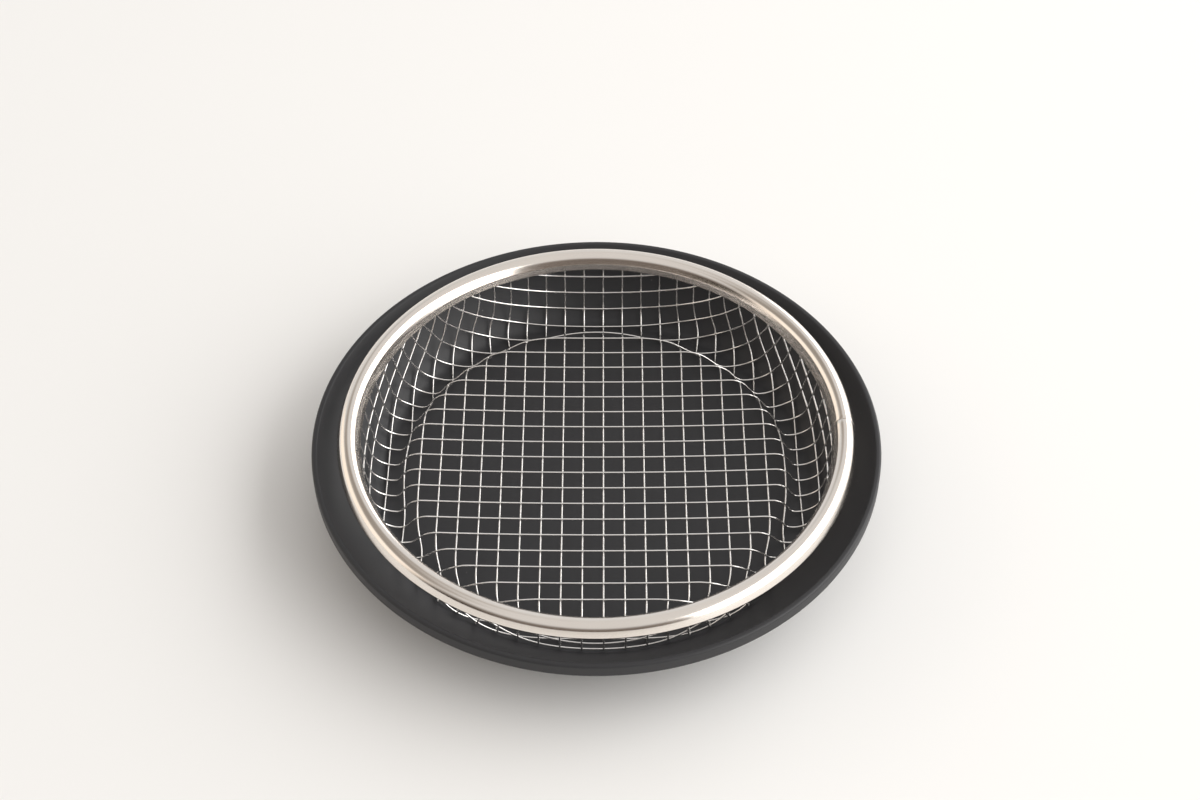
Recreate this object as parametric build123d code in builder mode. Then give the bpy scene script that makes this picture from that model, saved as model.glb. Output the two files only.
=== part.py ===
from build123d import *
import os
from math import asin, ceil, cos, degrees, hypot, radians, sin, sqrt, tan

# A round steel mesh strainer standing in a black plate.
# Millimetres, +Z up, the origin on the table under the middle of the plate.
# The mesh is flat welded wire mesh that was pressed into a tray, so its wires
# keep their length and their crossings slide into place on the pressed form.

# mesh: pitches from the middle to the edge of the flat blank that the tray is
# pressed from, and the crossing nearest the middle, in pitches from the axis
blank_pitches = 14.3157
shift_x_pitches = 0.3375
shift_y_pitches = -0.35
wire_d = 0.7
layer_gap = 0.2

# pressed form, measured on the middle of the mesh
floor_r = 70.4
floor_dip = 2.0
shoulder_bend = 6.0
step_angle = 60.0
step_depth = 6.7
groove_bend = 3.4
wall_bend = 10.0
wall_angle = 80.0

# rolled rim, its height taken above the edge of the raised floor
rim_height = 20.8
rim_tube_d = 8.6
rim_sheet = 0.7
rim_offset = 2.2
rim_grip = 2.8
rim_slot_gap = 0.2
rim_tip_gap = 0.6
rim_seam_gap = 0.15
rim_seam_turn = 7.0

# plate
plate_wall = 5.0
plate_depth = 24.8
plate_slope = 48.0
plate_well_bend = 6.0
plate_lip_width = 2.0
plate_lip_round = 0.95
seat_clearance = 3.2
foot_height = 2.0
foot_width = 3.5
foot_r = 62.0

# fineness of the worked-out wires
knots_per_pitch = 4
crossing_slack = 0.12
bend_slack = 0.65
near_axis = 0.001
near_enough = 1e-6
most_turns = 30

wire_r = wire_d / 2
layer_offset = wire_r + layer_gap / 2
mesh_thickness = 2 * wire_d + layer_gap
rim_tube_r = rim_tube_d / 2
rim_foot = rim_height - rim_tube_r
mesh_top = rim_foot + rim_grip


# Pressed form: its radii and heights where one curve meets the next.
# Height 0 is the edge of the raised floor.
step_turn = radians(step_angle)
wall_turn = radians(wall_angle)
shoulder_end_r = floor_r + shoulder_bend * sin(step_turn)
shoulder_end_z = -shoulder_bend * (1 - cos(step_turn))
slope_end_z = -step_depth + groove_bend * (1 - cos(step_turn))
slope_end_r = shoulder_end_r + (shoulder_end_z - slope_end_z) / tan(step_turn)
groove_r = slope_end_r + groove_bend * sin(step_turn)
wall_start_r = groove_r + wall_bend * sin(wall_turn)
wall_start_z = -step_depth + wall_bend * (1 - cos(wall_turn))
wall_top_r = wall_start_r + (rim_height - wall_start_z) / tan(wall_turn)

# The flat blank reaches as far as the form is long from its axis to the mesh's top
# edge, so a larger or deeper tray keeps its wires and spaces them wider.
bends_length = (shoulder_bend + groove_bend) * step_turn + wall_bend * wall_turn
slopes_length = (slope_end_r - shoulder_end_r) / cos(step_turn)
slopes_length += (mesh_top - wall_start_z) / sin(wall_turn)
pitch = (floor_r + bends_length + slopes_length) / blank_pitches


def form(r):
    """Height and slope of the pressed form at a distance from its axis."""
    if r < floor_r:
        return -floor_dip * (1 - (r / floor_r) ** 2), 2 * floor_dip * r / floor_r**2
    if r < shoulder_end_r:
        across = r - floor_r
        up = sqrt(shoulder_bend**2 - across**2)
        return up - shoulder_bend, -across / up
    if r < slope_end_r:
        return shoulder_end_z - (r - shoulder_end_r) * tan(step_turn), -tan(step_turn)
    if r < groove_r:
        across = groove_r - r
        up = sqrt(groove_bend**2 - across**2)
        return groove_bend - up - step_depth, -across / up
    if r < wall_start_r:
        across = r - groove_r
        up = sqrt(wall_bend**2 - across**2)
        return wall_bend - up - step_depth, across / up
    return wall_start_z + (r - wall_start_r) * tan(wall_turn), tan(wall_turn)


def on_form(x, y):
    return Vector(x, y, form(hypot(x, y))[0])


def form_normal(point):
    """Direction straight out of the pressed form, on its inner side."""
    r = max(hypot(point.X, point.Y), near_axis)
    slope = form(r)[1]
    return Vector(-slope * point.X / r, -slope * point.Y / r, 1).normalized()


# Laying the mesh on the form: knots lie one short step apart along both wires.
step = pitch / knots_per_pitch
reach = ceil((wall_top_r + rim_height + step_depth) / step)
edge_r = wall_top_r + 2 * step


def straight_run(start, way):
    """Knots of the wire that runs straight out from the middle knot."""
    knots = [start]
    for count in range(reach):
        last = knots[-1]
        near, far = 0.0, step
        while far - near > near_enough:
            middle = (near + far) / 2
            trial = on_form(last.X + way[0] * middle, last.Y + way[1] * middle)
            if (trial - last).length < step:
                near = middle
            else:
                far = middle
        knots.append(on_form(last.X + way[0] * near, last.Y + way[1] * near))
    return knots


def fourth_knot(corner, beside, below):
    """The knot one step from both neighbours, across from their shared corner."""
    x = beside.X + below.X - corner.X
    y = beside.Y + below.Y - corner.Y
    for turn in range(most_turns):
        r = max(hypot(x, y), near_axis)
        z, slope = form(r)
        slope_x, slope_y = slope * x / r, slope * y / r
        rows = []
        for knot in (beside, below):
            dx, dy, dz = x - knot.X, y - knot.Y, z - knot.Z
            miss = dx * dx + dy * dy + dz * dz - step * step
            rows.append((2 * (dx + dz * slope_x), 2 * (dy + dz * slope_y), miss))
        (a, b, e), (c, d, f) = rows
        scale = a * d - b * c
        if abs(scale) < near_enough:
            return None
        move_x, move_y = (b * f - d * e) / scale, (c * e - a * f) / scale
        length = hypot(move_x, move_y)
        if length > step / 2:
            move_x, move_y = move_x * step / 2 / length, move_y * step / 2 / length
        x, y = x + move_x, y + move_y
        if length < near_enough:
            return on_form(x, y)
    return None


def lay_mesh():
    """All knots, by their step counts along the two ways of the mesh."""
    middle = on_form(shift_x_pitches * pitch, shift_y_pitches * pitch)
    net = {}
    for side in (1, -1):
        for count, knot in enumerate(straight_run(middle, (side, 0))):
            net[side * count, 0] = knot
        for count, knot in enumerate(straight_run(middle, (0, side))):
            net[0, side * count] = knot
    for side_x in (1, -1):
        for side_y in (1, -1):
            for i in range(1, reach):
                for j in range(1, reach):
                    beside = net.get((side_x * (i - 1), side_y * j))
                    below = net.get((side_x * i, side_y * (j - 1)))
                    if beside is None or below is None:
                        continue
                    if max(hypot(beside.X, beside.Y), hypot(below.X, below.Y)) > edge_r:
                        continue
                    corner = net[side_x * (i - 1), side_y * (j - 1)]
                    knot = fourth_knot(corner, beside, below)
                    if knot is not None:
                        net[side_x * i, side_y * j] = knot
    return net


def trimmed(row):
    """A wire cut off at the mesh's top edge, as points with the slack that each allows.

    Crossings, and all points inside the rim's slot, keep close to the form.
    """
    inside = [index for index, (count, knot) in enumerate(row) if knot.Z < mesh_top]
    if len(inside) < 3 or inside[0] == 0 or inside[-1] == len(row) - 1:
        return []
    points = []
    for count, knot in row[inside[0] : inside[-1] + 1]:
        free = count % knots_per_pitch and knot.Z < rim_foot
        points.append((knot, bend_slack if free else crossing_slack))
    for end, above in ((0, row[inside[0] - 1][1]), (len(points), row[inside[-1] + 1][1])):
        last = points[0][0] if end == 0 else points[-1][0]
        share = (mesh_top - last.Z) / (above.Z - last.Z)
        points.insert(end, (last + (above - last) * share, bend_slack))
    return points


def thinned(points):
    """Only the points that the bends need, the rest lying within their slack."""
    if len(points) < 3:
        return points
    first, last = points[0][0], points[-1][0]
    chord = (last - first).normalized()
    misses = [(knot - first).cross(chord).length / slack for knot, slack in points]
    worst = misses.index(max(misses))
    if misses[worst] < 1:
        return [points[0], points[-1]]
    return thinned(points[: worst + 1])[:-1] + thinned(points[worst:])


def wire_runs(net, along_x, side):
    """Centre lines of the wires of one layer, on their side of the pressed form."""
    runs = []
    for place in range(-reach, reach + 1):
        if place % knots_per_pitch:
            continue
        spots = [(count, place) if along_x else (place, count) for count in range(-reach, reach + 1)]
        row = [(sum(spot) - place, net[spot]) for spot in spots if spot in net]
        points = [knot for knot, slack in thinned(trimmed(row))]
        if points:
            runs.append([knot + form_normal(knot) * layer_offset * side for knot in points])
    return runs


net = lay_mesh()
cross_runs = wire_runs(net, along_x=True, side=1)
line_runs = wire_runs(net, along_x=False, side=-1)

# The strainer stands with its lowest wire on the bottom of the plate's well.
well_z = foot_height + plate_wall
lowest = min(centre.Z for run in line_runs for centre in run)
floor_z = well_z + wire_r - lowest


def slid(corners, way, plane):
    """Section corners carried along a straight stretch onto the next bend's plane."""
    normal = plane.z_dir
    return [
        corner + way * ((plane.origin - corner).dot(normal) / way.dot(normal)) for corner in corners
    ]


def bent_wire(run, flat_side):
    """One wire of the mesh, mitred at each bend and square in section to stay light."""
    centres = [centre + Vector(0, 0, floor_z) for centre in run]
    ways = [(after - before).normalized() for before, after in zip(centres, centres[1:])]
    planes = [
        Plane(origin=centre, x_dir=flat_side, z_dir=way_in + way_out)
        for centre, way_in, way_out in zip(centres, ways[:1] + ways, ways + ways[-1:])
    ]
    middle = len(centres) // 2
    square = ((wire_r, wire_r), (-wire_r, wire_r), (-wire_r, -wire_r), (wire_r, -wire_r))
    sections = {middle: [planes[middle].from_local_coords(corner) for corner in square]}
    for index in range(middle + 1, len(centres)):
        sections[index] = slid(sections[index - 1], ways[index - 1], planes[index])
    for index in range(middle - 1, -1, -1):
        sections[index] = slid(sections[index + 1], ways[index], planes[index])
    outlines = [sections[0], sections[len(centres) - 1]]
    for index in range(len(ways)):
        near, far = sections[index], sections[index + 1]
        for side in range(4):
            outlines.append((near[side - 1], near[side], far[side], far[side - 1]))
    with BuildPart() as wire:
        add(Solid(Shell([Face(Wire.make_polygon(outline)) for outline in outlines])))
    return wire.part


os.makedirs("parts", exist_ok=True)

layers = (("cross_wire", cross_runs, (0, 1, 0)), ("line_wire", line_runs, (1, 0, 0)))
for name, runs, flat_side in layers:
    for number, run in enumerate(runs, start=1):
        piece = bent_wire(run, flat_side)
        piece.label = f"{name}_{number:02d}"
        export_step(piece, f"parts/{piece.label}.step")

# Rolled rim: a strip closed into a tube round the mesh's edge, with a slot that
# grips the mesh and a butt seam across the ring.
rim_r = wall_top_r + rim_offset
rim_z = floor_z + rim_height
seam_half_turn = asin(rim_seam_gap / 2 / rim_r)
section_turn = radians(rim_seam_turn) + seam_half_turn
section_plane = Plane(
    origin=(0, 0, 0),
    x_dir=(cos(section_turn), sin(section_turn), 0),
    z_dir=(sin(section_turn), -cos(section_turn), 0),
)
grip_z = floor_z + mesh_top
grip_r = wall_top_r - (rim_height - mesh_top) / tan(wall_turn)
slot_length = rim_tube_d
slot_drop = slot_length / 2 - rim_tip_gap
slot_centre = (grip_r - slot_drop * cos(wall_turn), grip_z - slot_drop * sin(wall_turn))

with BuildPart() as rim_ring:
    with BuildSketch(section_plane):
        with Locations((rim_r, rim_z)):
            Circle(rim_tube_r)
            RegularPolygon(rim_tube_r - rim_sheet, 6, mode=Mode.SUBTRACT)
        with Locations(Location((slot_centre[0], slot_centre[1], 0), (0, 0, wall_angle - 90))):
            Rectangle(mesh_thickness + 2 * rim_slot_gap, slot_length, mode=Mode.SUBTRACT)
    revolve(axis=Axis.Z, revolution_arc=360 - 2 * degrees(seam_half_turn))
rim_ring.part.label = "rim_ring"
export_step(rim_ring.part, "parts/rim_ring.step")

# Plate: a round dish of even wall, with a flat well that the strainer's groove
# stands in, a straight sloping side and a foot ring.
slope_turn = radians(plate_slope)
well_corner_r = groove_r + seat_clearance + plate_well_bend * tan(slope_turn / 2)
lip_r = well_corner_r + plate_depth / tan(slope_turn)
plate_r = lip_r + plate_lip_width
plate_top_z = well_z + plate_depth
lip_face = plate_wall / cos(slope_turn) - plate_lip_width * tan(slope_turn)
under_corner_r = well_corner_r + plate_wall * tan(slope_turn / 2)

with BuildPart() as plate:
    with BuildSketch(Plane.XZ) as half_section:
        with BuildLine():
            Polyline(
                (0, well_z),
                (well_corner_r, well_z),
                (lip_r, plate_top_z),
                (plate_r, plate_top_z),
                (plate_r, plate_top_z - lip_face),
                (under_corner_r, foot_height),
                (0, foot_height),
                close=True,
            )
        make_face()
        well_corner = half_section.vertices().sort_by_distance((well_corner_r, well_z))[0]
        fillet(well_corner, plate_well_bend)
        under_corner = half_section.vertices().sort_by_distance((under_corner_r, foot_height))[0]
        fillet(under_corner, plate_well_bend + plate_wall)
        for lip_edge in ((lip_r, plate_top_z), (plate_r, plate_top_z)):
            fillet(half_section.vertices().sort_by_distance(lip_edge)[0], plate_lip_round)
        lip_foot = half_section.vertices().sort_by_distance((plate_r, plate_top_z - lip_face))[0]
        chamfer(lip_foot, plate_lip_round)
        with Locations((foot_r, foot_height / 2)):
            Rectangle(foot_width, foot_height)
    revolve(axis=Axis.Z)
plate.part.label = "plate"
export_step(plate.part, "parts/plate.step")
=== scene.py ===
# %% [markdown]
# # A wire mesh strainer in a black plate
# The imported solids are loaded first. They are the frame: every piece made below is
# in metres, in the same place as the solid that it stands for, so nothing has to be
# fitted by eye.

# %% Load the frame
from itertools import product
from math import acos, asin, ceil, cos, hypot, pi, radians, sin, sqrt, tan

import bmesh
import bpy
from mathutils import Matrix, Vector


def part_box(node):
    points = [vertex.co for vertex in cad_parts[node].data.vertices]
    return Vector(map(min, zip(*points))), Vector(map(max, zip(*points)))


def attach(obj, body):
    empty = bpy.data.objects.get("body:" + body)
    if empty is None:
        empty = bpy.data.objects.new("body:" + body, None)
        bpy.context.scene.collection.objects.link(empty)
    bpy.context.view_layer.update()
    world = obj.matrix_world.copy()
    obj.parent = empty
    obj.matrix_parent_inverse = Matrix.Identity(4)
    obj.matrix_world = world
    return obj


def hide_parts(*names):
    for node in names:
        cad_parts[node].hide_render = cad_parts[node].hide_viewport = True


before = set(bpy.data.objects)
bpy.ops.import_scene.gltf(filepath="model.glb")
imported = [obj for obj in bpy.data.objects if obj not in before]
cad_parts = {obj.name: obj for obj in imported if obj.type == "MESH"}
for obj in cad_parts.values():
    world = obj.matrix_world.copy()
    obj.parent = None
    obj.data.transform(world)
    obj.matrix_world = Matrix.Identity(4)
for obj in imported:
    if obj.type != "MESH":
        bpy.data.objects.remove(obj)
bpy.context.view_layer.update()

# %% [markdown]
# The rim and the plate give the main sizes straight from their boxes: the rim's box
# is as high as its tube is thick, and the plate's box is as wide as its lip.

# %% Sizes read from the solids
mm = 0.001
rim_low, rim_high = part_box("rim_ring")
plate_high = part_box("plate")[1]
rim_tube_r = (rim_high[2] - rim_low[2]) / 2
rim_r = rim_high[0] - rim_tube_r
rim_z = (rim_high[2] + rim_low[2]) / 2
plate_r = plate_high[0]
plate_top_z = plate_high[2]
print("rim radius", round(rim_r / mm, 2), "tube radius", round(rim_tube_r / mm, 2))
print("plate radius", round(plate_r / mm, 2), "top", round(plate_top_z / mm, 2))

# %% [markdown]
# A finish is a small sum over numbers that change from place to place. The class
# below lets such a sum be written as plain Python: it wraps a node's output, and
# +, * and ** each add a Math node. Every other node comes from one method, which
# sets the node's settings first and then fills or links its sockets.


# %% Sums of node outputs
class Reading:
    """A node's output, ready to take part in sums."""

    def __init__(self, tree, socket=None):
        self.tree = tree
        self.socket = socket

    def node(self, kind, settings=None, values=None, output=0):
        """A new node of that kind, and its chosen output as a reading."""
        made = self.tree.nodes.new(kind)
        for name, setting in (settings or {}).items():
            if name == "stops":
                self.fill_ramp(made.color_ramp, setting)
            else:
                setattr(made, name, setting)
        for name, value in (values or {}).items():
            if isinstance(value, Reading):
                self.tree.links.new(value.socket, made.inputs[name])
            else:
                made.inputs[name].default_value = value
        return Reading(self.tree, made.outputs[output])

    @staticmethod
    def fill_ramp(ramp, stops):
        """The stops of a grey ramp, as (place, grey)."""
        while len(ramp.elements) < len(stops):
            ramp.elements.new(1.0)
        for element, (place, grey) in zip(ramp.elements, stops):
            element.position = place
            element.color = (grey, grey, grey, 1.0)

    def parts(self):
        """A reading of every output of this reading's node."""
        return [Reading(self.tree, socket) for socket in self.socket.node.outputs]

    def sum(self, operation, first, second=0.0):
        """One Math node."""
        return self.node("ShaderNodeMath", {"operation": operation}, {0: first, 1: second})

    def __add__(self, other):
        return self.sum("ADD", self, other)

    def __radd__(self, other):
        return self.sum("ADD", other, self)

    def __mul__(self, other):
        return self.sum("MULTIPLY", self, other)

    def __rmul__(self, other):
        return self.sum("MULTIPLY", other, self)

    def __pow__(self, other):
        return self.sum("POWER", self, other)

    def mixed(self, low, high):
        """A colour that goes from low to high as this reading goes from 0 to 1."""
        low, high = [end if isinstance(end, Reading) else (*end, 1.0) for end in (low, high)]
        return self.node(
            "ShaderNodeMix", {"data_type": "RGBA"}, {"Factor": self, 6: low, 7: high}, output=2
        )


# %% [markdown]
# Each material starts as one Principled shader. Whatever is the same all over is set
# on the shader itself, and only what changes over the surface is linked in.


# %% Start of a material
def new_material(name, **constants):
    """A material, its shader and a reading to start sums from."""
    material = bpy.data.materials.new(name)
    material.use_nodes = True
    shader = material.node_tree.nodes["Principled BSDF"]
    for socket, value in constants.items():
        shader.inputs[socket.replace("_", " ")].default_value = value
    start = Reading(material.node_tree)
    return material, shader, start


def link(reading, shader, socket):
    """What a reading says goes into a socket of the shader."""
    reading.tree.links.new(reading.socket, shader.inputs[socket])


def noise(start, place, scale, detail=2.0):
    """Soft random patches, about 0 to 1, by their count per metre."""
    values = {"Vector": place, "Scale": scale, "Detail": detail}
    return start.node("ShaderNodeTexNoise", {}, values)


def bumped(start, height, shader, depth, strength=1.0):
    """Relief of that depth in metres, drawn by the light only."""
    values = {"Height": height, "Distance": depth, "Strength": strength}
    link(start.node("ShaderNodeBump", {}, values), shader, "Normal")


# %% [markdown]
# Drawn stainless wire is bright, with faint lengthwise marks from the die. At this
# size they only spread its highlights, so soft patches in roughness and a shallow
# relief are enough. A little of the black plate's colour shows in it by reflection.


# %% Bright drawn wire
def wire_steel():
    material, shader, start = new_material("wire_steel", Metallic=1.0)
    place = start.node("ShaderNodeTexCoord", output="Object")
    patches = noise(start, place, 260.0)
    grain = noise(start, place, 2600.0)
    link(patches.mixed((0.84, 0.82, 0.80), (0.94, 0.925, 0.91)), shader, "Base Color")
    link(0.14 + patches * 0.12, shader, "Roughness")
    bumped(start, grain, shader, 0.02 * mm, 0.4)
    return material


wire_finish = wire_steel()
print("made", wire_finish.name)

# %% [markdown]
# The rim was polished while it turned, so its fine scratches run round the ring.
# Such a scratch keeps its distance from the axis and its height, so the noise is
# read at those two and hardly at the angle: that draws it out into long streaks.


# %% Satin rolled rim
def rim_steel():
    material, shader, start = new_material("rim_steel", Metallic=1.0)
    place = start.node("ShaderNodeTexCoord", output="Object")
    split = start.node("ShaderNodeSeparateXYZ", {}, {"Vector": place})
    x, y, z = split.parts()
    out = (x * x + y * y) ** 0.5
    along = start.sum("ARCTAN2", y, x) * 0.004
    streak_place = start.node("ShaderNodeCombineXYZ", {}, {"X": out, "Y": z, "Z": along})
    streaks = noise(start, streak_place, 9000.0, 3.0)
    patches = noise(start, place, 42.0)
    link(patches.mixed((0.80, 0.745, 0.69), (0.87, 0.815, 0.76)), shader, "Base Color")
    link(0.11 + streaks * 0.08 + patches * 0.04, shader, "Roughness")
    bumped(start, streaks, shader, 0.004 * mm, 0.5)
    return material


rim_finish = rim_steel()
print("made", rim_finish.name)

# %% [markdown]
# The plate is matte black with a very fine grain, like a powder coat. A few pale
# specks of dust lie on it. They are the peaks of a fine noise, cut off so high up
# that hardly any are left.


# %% Matte black plate
def plate_black():
    material, shader, start = new_material("plate_black", Metallic=0.0, IOR=1.45)
    place = start.node("ShaderNodeTexCoord", output="Object")
    patches = noise(start, place, 30.0)
    grain = noise(start, place, 3200.0, 4.0)
    speckle = noise(start, place, 700.0, 1.0)
    peaks = {"stops": ((0.80, 0.0), (0.86, 1.0))}
    dust = start.node("ShaderNodeValToRGB", peaks, {"Fac": speckle}, output="Color")
    black = patches.mixed((0.021, 0.021, 0.023), (0.027, 0.027, 0.030))
    link(dust.mixed(black, (0.16, 0.16, 0.16)), shader, "Base Color")
    link(0.46 + patches * 0.08 + dust * 0.2, shader, "Roughness")
    bumped(start, grain, shader, 0.03 * mm, 0.35)
    return material


plate_finish = plate_black()
print("made", plate_finish.name)

# %% [markdown]
# The mesh started flat and was pressed over a form: a slightly dished floor, a step
# down to a groove that it stands on, and a steep wall up into the rim. The form is
# a row of arcs and straight lines, turned round the axis. This function gives its
# height and slope at any distance from the axis, with 0 at the floor's edge. Its
# sizes are those that the solids were made with.

# %% Pressed form
pitch = 8.0 * mm
wire_d = 0.7 * mm
mesh_shift_x = 2.7 * mm
mesh_shift_y = -2.8 * mm
floor_r = 70.4 * mm
floor_dip = 2.0 * mm
shoulder_bend = 6.0 * mm
step_turn = radians(60.0)
step_depth = 6.7 * mm
groove_bend = 3.4 * mm
wall_bend = 10.0 * mm
wall_turn = radians(80.0)
rim_height = 20.8 * mm
rim_grip = 2.8 * mm
near_axis = 0.001 * mm

shoulder_end_r = floor_r + shoulder_bend * sin(step_turn)
shoulder_end_z = -shoulder_bend * (1 - cos(step_turn))
slope_end_z = -step_depth + groove_bend * (1 - cos(step_turn))
slope_end_r = shoulder_end_r + (shoulder_end_z - slope_end_z) / tan(step_turn)
groove_r = slope_end_r + groove_bend * sin(step_turn)
wall_start_r = groove_r + wall_bend * sin(wall_turn)
wall_start_z = -step_depth + wall_bend * (1 - cos(wall_turn))
wall_top_r = wall_start_r + (rim_height - wall_start_z) / tan(wall_turn)
mesh_top = rim_height - rim_tube_r + rim_grip
floor_z = rim_z - rim_height


def form(r):
    """Height and slope of the form at a distance from its axis."""
    if r < floor_r:
        return -floor_dip * (1 - (r / floor_r) ** 2), 2 * floor_dip * r / floor_r**2
    if r < shoulder_end_r:
        up = sqrt(shoulder_bend**2 - (r - floor_r) ** 2)
        return up - shoulder_bend, -(r - floor_r) / up
    if r < slope_end_r:
        return shoulder_end_z - (r - shoulder_end_r) * tan(step_turn), -tan(step_turn)
    if r < groove_r:
        up = sqrt(groove_bend**2 - (groove_r - r) ** 2)
        return groove_bend - up - step_depth, -(groove_r - r) / up
    if r < wall_start_r:
        up = sqrt(wall_bend**2 - (r - groove_r) ** 2)
        return wall_bend - up - step_depth, (r - groove_r) / up
    return wall_start_z + (r - wall_start_r) * tan(wall_turn), tan(wall_turn)


def on_form(x, y):
    """The point of the form over x and y."""
    return Vector((x, y, form(hypot(x, y))[0]))


def form_normal(point):
    """Straight out of the form, on its inner side."""
    r = max(hypot(point.x, point.y), near_axis)
    slope = form(r)[1]
    return Vector((-slope * point.x / r, -slope * point.y / r, 1)).normalized()


print("groove radius", round(groove_r / mm, 2), "wall top", round(wall_top_r / mm, 2))

# %% [markdown]
# Pressing doesn't stretch steel wire. Each little square of the mesh keeps its four
# equal sides and only leans over into a diamond, as cloth does over a bowl. So the
# mesh is laid out from two straight wires through its middle, and every further
# knot is the point of the form that is one step away from both its neighbours.

# %% Lay the mesh on the form
knots_per_pitch = 8
step = pitch / knots_per_pitch
reach = ceil((wall_top_r + rim_height + step_depth) / step)
edge_r = wall_top_r + 2 * step
near_enough = 1e-9
flat_enough = 1e-15
most_turns = 30


def straight_run(start, way):
    """Knots of the wire that runs straight out from the middle knot."""
    knots = [start]
    for count in range(reach):
        last = knots[-1]
        near, far = 0.0, step
        while far - near > near_enough:
            middle = (near + far) / 2
            trial = on_form(last.x + way[0] * middle, last.y + way[1] * middle)
            if (trial - last).length < step:
                near = middle
            else:
                far = middle
        knots.append(on_form(last.x + way[0] * near, last.y + way[1] * near))
    return knots


def fourth_knot(corner, beside, below):
    """The knot one step from both neighbours, across from their shared corner."""
    x = beside.x + below.x - corner.x
    y = beside.y + below.y - corner.y
    for turn in range(most_turns):
        r = max(hypot(x, y), near_axis)
        z, slope = form(r)
        slope_x, slope_y = slope * x / r, slope * y / r
        rows = []
        for knot in (beside, below):
            dx, dy, dz = x - knot.x, y - knot.y, z - knot.z
            miss = dx * dx + dy * dy + dz * dz - step * step
            rows.append((2 * (dx + dz * slope_x), 2 * (dy + dz * slope_y), miss))
        (a, b, e), (c, d, f) = rows
        scale = a * d - b * c
        if abs(scale) < flat_enough:
            return None
        move_x, move_y = (b * f - d * e) / scale, (c * e - a * f) / scale
        length = hypot(move_x, move_y)
        if length > step / 2:
            move_x, move_y = move_x * step / 2 / length, move_y * step / 2 / length
        x, y = x + move_x, y + move_y
        if length < near_enough:
            return on_form(x, y)
    return None


def lay_mesh():
    """All knots, by their step counts along the two ways of the mesh."""
    middle = on_form(mesh_shift_x, mesh_shift_y)
    net = {}
    for side in (1, -1):
        for count, knot in enumerate(straight_run(middle, (side, 0))):
            net[side * count, 0] = knot
        for count, knot in enumerate(straight_run(middle, (0, side))):
            net[0, side * count] = knot
    steps = range(1, reach)
    for side_x, side_y, i, j in product((1, -1), (1, -1), steps, steps):
        beside = net.get((side_x * (i - 1), side_y * j))
        below = net.get((side_x * i, side_y * (j - 1)))
        if beside is None or below is None:
            continue
        if max(hypot(beside.x, beside.y), hypot(below.x, below.y)) > edge_r:
            continue
        corner = net[side_x * (i - 1), side_y * (j - 1)]
        knot = fourth_knot(corner, beside, below)
        if knot is not None:
            net[side_x * i, side_y * j] = knot
    return net


net = lay_mesh()
print("knots laid:", len(net))

# %% [markdown]
# A wire is one row of knots, lifted off the form by its own radius: the wires that
# run across lie on the inside, and the others on the outside. Where they cross they
# are sunk a little into each other, because spot welding melts them together. Each
# wire is a curve with a round bevel, which stays exact however it bends.

# %% Wires of the mesh
weld_sink = 0.05 * mm
layer_offset = wire_d / 2 - weld_sink


def wire_rows(along_x):
    """Knots of each wire of one layer, cut off at the mesh's top edge."""
    rows = []
    counts = range(-reach, reach + 1)
    for place in counts:
        if place % knots_per_pitch:
            continue
        spots = [(count, place) if along_x else (place, count) for count in counts]
        row = [net[spot] for spot in spots if spot in net]
        inside = [index for index, knot in enumerate(row) if knot.z < mesh_top]
        if len(inside) < 3 or inside[0] == 0 or inside[-1] == len(row) - 1:
            continue
        rows.append(row[inside[0] - 1 : inside[-1] + 2])
    return rows


def lifted(knot, side):
    """The wire's middle beside a knot of the form, in the frame's heights."""
    return knot + form_normal(knot) * layer_offset * side + Vector((0, 0, floor_z))


def round_wire(name, points):
    """A curve through the points with the wire's round section."""
    curve = bpy.data.curves.new(name, "CURVE")
    curve.dimensions = "3D"
    curve.bevel_depth = wire_d / 2
    curve.bevel_resolution = 3
    curve.use_fill_caps = True
    spline = curve.splines.new("POLY")
    spline.points.add(len(points) - 1)
    for spot, point in zip(spline.points, points):
        spot.co = (*point, 1.0)
    spline.use_smooth = True
    curve.materials.append(wire_finish)
    wire = bpy.data.objects.new(name, curve)
    bpy.context.scene.collection.objects.link(wire)
    return wire


for layer, along_x, side in (("cross_wire", True, 1), ("line_wire", False, -1)):
    rows = wire_rows(along_x)
    for number, row in enumerate(rows, start=1):
        name = f"{layer}_{number:02d}"
        wire = round_wire(f"round_{name}", [lifted(knot, side) for knot in row])
        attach(wire, "root")
        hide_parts(name)
    print(layer, "wires:", len(rows))

# %% [markdown]
# A spot weld leaves a small bead of melted steel where two wires cross. One bead is
# a small ball, and the same ball is set down at every crossing below the rim.

# %% Spot welds
weld_r = 0.42 * mm


def weld_beads(name):
    """One mesh with a bead at each crossing of the two layers."""
    shape = bmesh.new()
    for (i, j), knot in net.items():
        between = i % knots_per_pitch or j % knots_per_pitch
        if between or knot.z > mesh_top:
            continue
        bead = bmesh.ops.create_icosphere(shape, subdivisions=1, radius=weld_r)
        middle = knot + Vector((0, 0, floor_z))
        for vertex in bead["verts"]:
            vertex.co += middle
    for face in shape.faces:
        face.smooth = True
    mesh = bpy.data.meshes.new(name)
    shape.to_mesh(mesh)
    shape.free()
    mesh.materials.append(wire_finish)
    beads = bpy.data.objects.new(name, mesh)
    bpy.context.scene.collection.objects.link(beads)
    return beads


welds = weld_beads("weld_beads")
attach(welds, "root")
print("weld faces:", len(welds.data.polygons))

# %% [markdown]
# The rim and the plate are both turned shapes. Their section is drawn as a line of
# corners, each with its own bend radius, and a bend is filled in as an arc between
# the two straight stretches that it joins.


# %% Sections with rounded corners
plate_arc_step = radians(6)
rim_arc_step = radians(4)
sharp_edge = radians(35)


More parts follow.
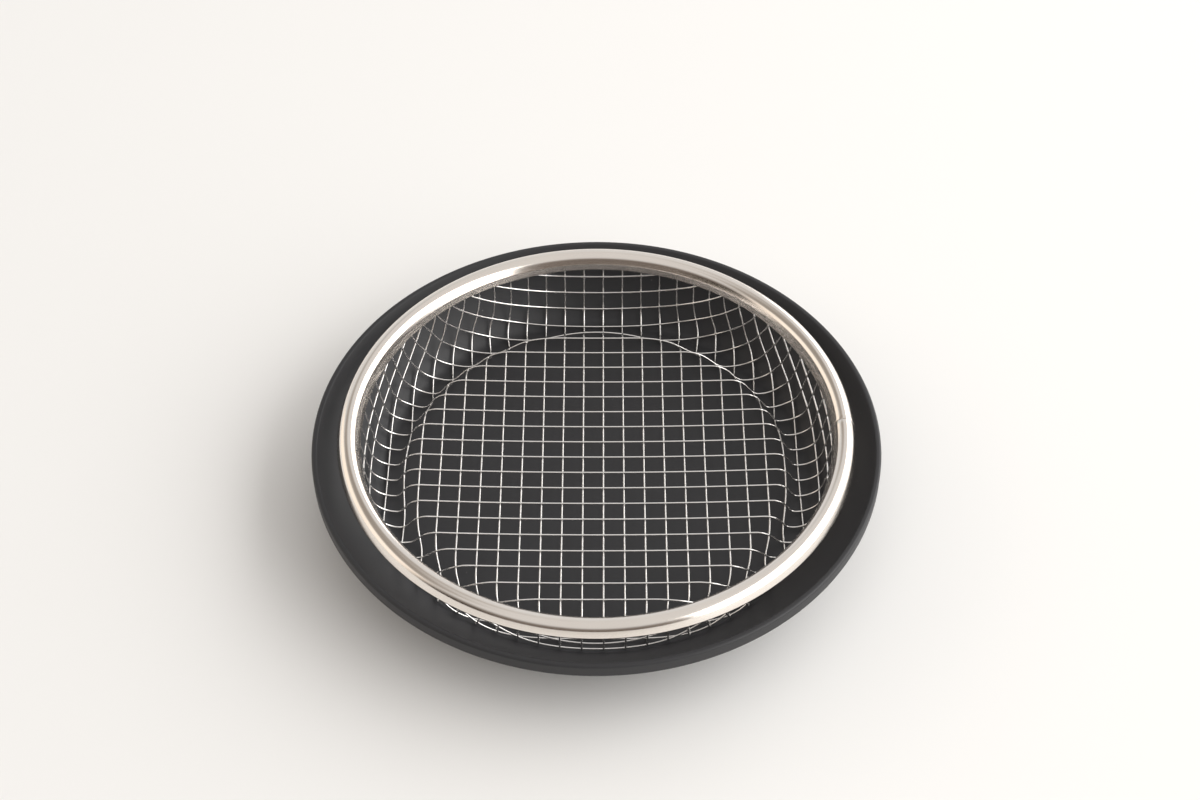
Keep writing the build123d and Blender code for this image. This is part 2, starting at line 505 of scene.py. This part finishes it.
def rounded(corners, arc_step):
    """Points (r, z) of a section whose corners (r, z, bend) are rounded off."""
    points = [Vector(corners[0][:2])]
    for before, corner, after in zip(corners, corners[1:], corners[2:]):
        here = Vector(corner[:2])
        way_back = (Vector(before[:2]) - here).normalized()
        way_on = (Vector(after[:2]) - here).normalized()
        bend = corner[2]
        opening = acos(max(-1, min(1, way_back.dot(way_on))))
        if not bend:
            points.append(here)
            continue
        centre = here + (way_back + way_on).normalized() * bend / sin(opening / 2)
        cut = bend / tan(opening / 2)
        first = here + way_back * cut - centre
        last = here + way_on * cut - centre
        turn = pi - opening
        count = max(2, ceil(turn / arc_step))
        for index in range(count + 1):
            share = index / count
            spoke = first * sin((1 - share) * turn) + last * sin(share * turn)
            points.append(centre + spoke / sin(turn))
    points.append(Vector(corners[-1][:2]))
    return points


def turned(name, section, material, segments, start=0.0, sweep=2 * pi):
    """A section (r, z) turned round the axis, as a smooth object."""
    full = sweep == 2 * pi
    shape = bmesh.new()
    rings = []
    for index in range(segments if full else segments + 1):
        angle = start + sweep * index / segments
        places = [(r * cos(angle), r * sin(angle), z) for r, z in section]
        rings.append([shape.verts.new(place) for place in places])
    pairs = list(zip(rings, rings[1:]))
    if full:
        pairs.append((rings[-1], rings[0]))
    for near, far in pairs:
        for index in range(len(section) - 1):
            shape.faces.new((near[index], far[index], far[index + 1], near[index + 1]))
    bmesh.ops.remove_doubles(shape, verts=shape.verts, dist=near_axis)
    bmesh.ops.recalc_face_normals(shape, faces=shape.faces)
    for face in shape.faces:
        face.smooth = True
    mesh = bpy.data.meshes.new(name)
    shape.to_mesh(mesh)
    shape.free()
    mesh.set_sharp_from_angle(angle=sharp_edge)
    mesh.materials.append(material)
    piece = bpy.data.objects.new(name, mesh)
    bpy.context.scene.collection.objects.link(piece)
    return piece


# %% [markdown]
# The rim is a strip of sheet rolled over the mesh's edge. Closing it on the mesh
# leaves a round top with two slightly spread flanks, whose feet turn in and stop at
# the mesh. The strip's two ends meet in a butt seam, so the ring isn't quite a full
# turn, and polishing has eased the edges of the seam into a fine groove. The outside
# of the section is drawn first, and the inside is the same line moved in by the
# thickness of the sheet.

# %% Rolled rim
rim_sheet = 0.5 * mm
rim_slot_gap = 0.3 * mm
rim_seam_gap = 0.15 * mm
seam_edge_ease = 0.2 * mm
rim_seam_turn = radians(1.0)
rim_top_bend = 3.67 * mm
rim_foot_bend = 0.6 * mm
rim_knee_bend = 4.0 * mm
outer_flank_turn = radians(65.5)
inner_flank_turn = radians(64)
inner_foot_turn = radians(75)
outer_flank = 3.1 * mm
inner_flank = 1.8 * mm
inner_foot = 2.7 * mm
slot_drop = 2.9 * mm
rim_spread = 0.33 * mm
rim_top_room = 0.1 * mm
rim_segments = 288

rim_mid_r = rim_r + rim_spread
rim_mid_z = rim_high[2] - rim_top_bend - rim_top_room


def along_flank(start, turn, length, side):
    """The point further down a flank whose face leans back from the vertical."""
    return (start[0] + side * length * cos(turn), start[1] - length * sin(turn))


def on_top_bend(turn):
    """The point of the top bend whose face leans that far from upright."""
    return (rim_top_bend * sin(turn), rim_top_bend * cos(turn))


def rim_corners():
    """The corners of the rim's outside, from its middle: across, up and bend."""
    middle_turn = (outer_flank_turn - inner_flank_turn) / 2
    peak = rim_top_bend / cos((outer_flank_turn + inner_flank_turn) / 2)
    outer_end = along_flank(on_top_bend(outer_flank_turn), outer_flank_turn, outer_flank, 1)
    knee = along_flank(on_top_bend(-inner_flank_turn), inner_flank_turn, inner_flank, -1)
    inner_end = along_flank(knee, inner_foot_turn, inner_foot, -1)
    slot_below = floor_z + rim_height - rim_mid_z + slot_drop
    mesh_r = wall_top_r - rim_mid_r - slot_below / tan(wall_turn)
    half_slot = wire_d + rim_slot_gap
    return [
        (mesh_r + half_slot, -slot_drop, 0),
        (*outer_end, rim_foot_bend),
        (peak * sin(middle_turn), peak * cos(middle_turn), rim_top_bend),
        (*knee, rim_knee_bend),
        (*inner_end, rim_foot_bend),
        (mesh_r - half_slot, -slot_drop, 0),
    ]


def rim_section():
    """The sheet's closed outline, over the outside and back along the inside."""
    middle = Vector((rim_mid_r, rim_mid_z))
    outside = [middle + point for point in rounded(rim_corners(), rim_arc_step)]
    inside = []
    for before, point, after in zip(outside[:1] + outside, outside, outside[1:] + outside[-1:]):
        way = (after - before).normalized()
        inside.append(point + Vector((-way.y, way.x)) * rim_sheet)
    return outside + inside[::-1] + outside[:1]


seam_half = asin(rim_seam_gap / 2 / rim_r)
rim = turned(
    "rolled_rim",
    rim_section(),
    rim_finish,
    segments=rim_segments,
    start=rim_seam_turn + seam_half,
    sweep=2 * pi - 2 * seam_half,
)


def close_seam_ends(piece):
    """A face over each cut end of the strip, with its edges eased by the polishing."""
    mesh = piece.data
    shape = bmesh.new()
    shape.from_mesh(mesh)
    open_edges = [edge for edge in shape.edges if edge.is_boundary]
    end_edges = []
    for side in (1, -1):
        angle = rim_seam_turn + side * seam_half
        across = Vector((-sin(angle), cos(angle), 0))
        loop = [
            edge
            for edge in open_edges
            if all(abs(vertex.co.dot(across)) < seam_half * rim_r / 2 for vertex in edge.verts)
        ]
        bmesh.ops.contextual_create(shape, geom=loop)
        end_edges += loop
    bmesh.ops.bevel(
        shape, geom=end_edges, offset=seam_edge_ease, segments=3, affect="EDGES", profile=0.5
    )
    bmesh.ops.recalc_face_normals(shape, faces=shape.faces)
    for face in shape.faces:
        face.smooth = True
    shape.to_mesh(mesh)
    shape.free()
    mesh.set_sharp_from_angle(angle=sharp_edge)


close_seam_ends(rim)
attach(rim, "root")
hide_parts("rim_ring")
print("rim faces:", len(rim.data.polygons))

# %% [markdown]
# The plate has one even wall: a flat well, a soft corner, a straight sloping side
# and a narrow flat lip. It stands on a low foot ring.

# %% Plate
plate_wall = 5.0 * mm
plate_depth = 24.8 * mm
plate_slope = radians(48.0)
plate_well_bend = 6.0 * mm
plate_lip_width = 2.0 * mm
plate_lip_round = 0.95 * mm
foot_height = 2.0 * mm
foot_width = 3.5 * mm
foot_r = 62.0 * mm
foot_round = 0.5 * mm

well_z = plate_top_z - plate_depth
lip_r = plate_r - plate_lip_width
well_corner_r = lip_r - plate_depth / tan(plate_slope)
under_corner_r = well_corner_r + plate_wall * tan(plate_slope / 2)
lip_face = plate_wall / cos(plate_slope) - plate_lip_width * tan(plate_slope)

foot_outer_r = foot_r + foot_width / 2
foot_inner_r = foot_r - foot_width / 2

plate_corners = [
    (0, well_z, 0),
    (well_corner_r, well_z, plate_well_bend),
    (lip_r, plate_top_z, plate_lip_round),
    (plate_r, plate_top_z, plate_lip_round),
    (plate_r, plate_top_z - lip_face, plate_lip_round),
    (under_corner_r, foot_height, plate_well_bend + plate_wall),
    (foot_outer_r, foot_height, foot_round),
    (foot_outer_r, 0, foot_round),
    (foot_inner_r, 0, foot_round),
    (foot_inner_r, foot_height, foot_round),
    (0, foot_height, 0),
]
plate_section = rounded(plate_corners, plate_arc_step)
plate = turned("black_plate", plate_section, plate_finish, segments=256)
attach(plate, "root")
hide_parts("plate")
print("plate faces:", len(plate.data.polygons))

# %% [markdown]
# The table is a plain pale sheet, wide enough to fill the picture. It isn't part of
# the object.


# %% Table
def table_sheet(width):
    """A flat pale sheet on z = 0."""
    pale = (0.845, 0.842, 0.832, 1.0)
    material = new_material("table", Roughness=0.75, Base_Color=pale)[0]
    bpy.ops.mesh.primitive_plane_add(size=width)
    sheet = bpy.context.object
    sheet.name = "table"
    sheet.data.materials.append(material)
    return sheet


table_sheet(8.0)
print("table laid")

# %% [markdown]
# The steel shows the whole room, so the room is drawn with care. Two tall windows
# with a post between them fill the right side: they make the highlights and the
# soft shadow. The rest is a world of soft patches, each one a mask over azimuth and
# height: a grey ceiling with a shaded part, a pale wall ahead, a warm pale screen on
# the left and a dim stretch behind the camera. A patch is given as the azimuth of its
# middle, its half width, its low and high edge and its softness, and then its colour.
# A lamp of this kind shines with its energy over four times its area.


# %% Light
energy_per_radiance = 4


def window(name, distance, near_side, far_side, height, radiance):
    """An upright window to the right, from the table up, between two places in y."""
    light = bpy.data.lights.new(name, "AREA")
    light.shape = "RECTANGLE"
    light.size, light.size_y = far_side - near_side, height
    light.energy = radiance * energy_per_radiance * light.size * light.size_y
    light.color = (1.0, 0.99, 0.975)
    lamp = bpy.data.objects.new(name, light)
    bpy.context.scene.collection.objects.link(lamp)
    lamp.location = (distance, (near_side + far_side) / 2, height / 2)
    lamp.rotation_euler = (pi / 2, 0, pi / 2)
    return lamp


def patch(start, azimuth, half_width, low, high, soft):
    """A mask that is 1 inside a stretch of the room, all in degrees, with soft edges."""
    way = start.node("ShaderNodeTexCoord", output="Generated")
    about_z = {"rotation_type": "Z_AXIS"}
    to_middle = {"Vector": way, "Angle": -radians(azimuth)}
    turned_way = start.node("ShaderNodeVectorRotate", about_z, to_middle)
    x, y, z = start.node("ShaderNodeSeparateXYZ", {}, {"Vector": turned_way}).parts()
    aside = start.sum("ABSOLUTE", start.sum("ARCTAN2", y, x))
    height = start.sum("ARCSINE", z)
    mask = 1.0
    for reading, edge, way_in in ((aside, half_width, -1), (height, low, 1), (height, high, -1)):
        values = {
            "Value": reading,
            "From Min": radians(edge - way_in * soft),
            "From Max": radians(edge + way_in * soft),
        }
        mask *= start.node("ShaderNodeMapRange", {"interpolation_type": "SMOOTHSTEP"}, values)
    return mask


def soft_room(ceiling, patches):
    """A world of one colour, with patches laid over it one after the other."""
    room = bpy.data.worlds.new("soft_room")
    room.use_nodes = True
    background = room.node_tree.nodes["Background"]
    start = Reading(room.node_tree)
    colour = ceiling
    for place, paint in patches:
        colour = patch(start, *place).mixed(colour, paint)
    start.tree.links.new(colour.socket, background.inputs["Color"])
    return room


window("window_near", 2.0, -2.7, 1.55, 3.0, 2.0)
window("window_far", 2.0, 1.85, 6.0, 3.0, 1.5)
room_patches = (
    ((105, 32, -20, 45, 8), (0.80, 0.80, 0.80)),
    ((150, 48, 34, 64, 12), (0.36, 0.32, 0.28)),
    ((168, 35, -20, 33, 4), (1.25, 1.13, 1.0)),
    ((-105, 53, -20, 34, 16), (0.19, 0.16, 0.14)),
    ((-144, 13, -20, 14, 8), (0.05, 0.04, 0.03)),
)
bpy.context.scene.world = soft_room((0.78, 0.76, 0.74), room_patches)
bpy.context.scene.view_settings.view_transform = "Standard"
print("lights set")

# %% [markdown]
# The camera looks down at the tray from the front. Its place and lens were worked
# out from the mesh itself: straight evenly spaced wires show the view's angle and
# how strongly it narrows with distance.

# %% Camera
view_fall = radians(47.181)
camera_data = bpy.data.cameras.new("camera")
camera_data.sensor_width = 36.0
camera_data.lens = 63.984
camera_aside = 1.37 * mm
camera_back = 550.91 * mm
camera_over_floor = 631.74 * mm
camera = bpy.data.objects.new("camera", camera_data)
bpy.context.scene.collection.objects.link(camera)
camera.location = (camera_aside, -camera_back, floor_z + camera_over_floor)
camera.rotation_euler = (pi / 2 - view_fall, 0, 0)
bpy.context.scene.camera = camera
print("camera at", tuple(round(v, 4) for v in camera.location))
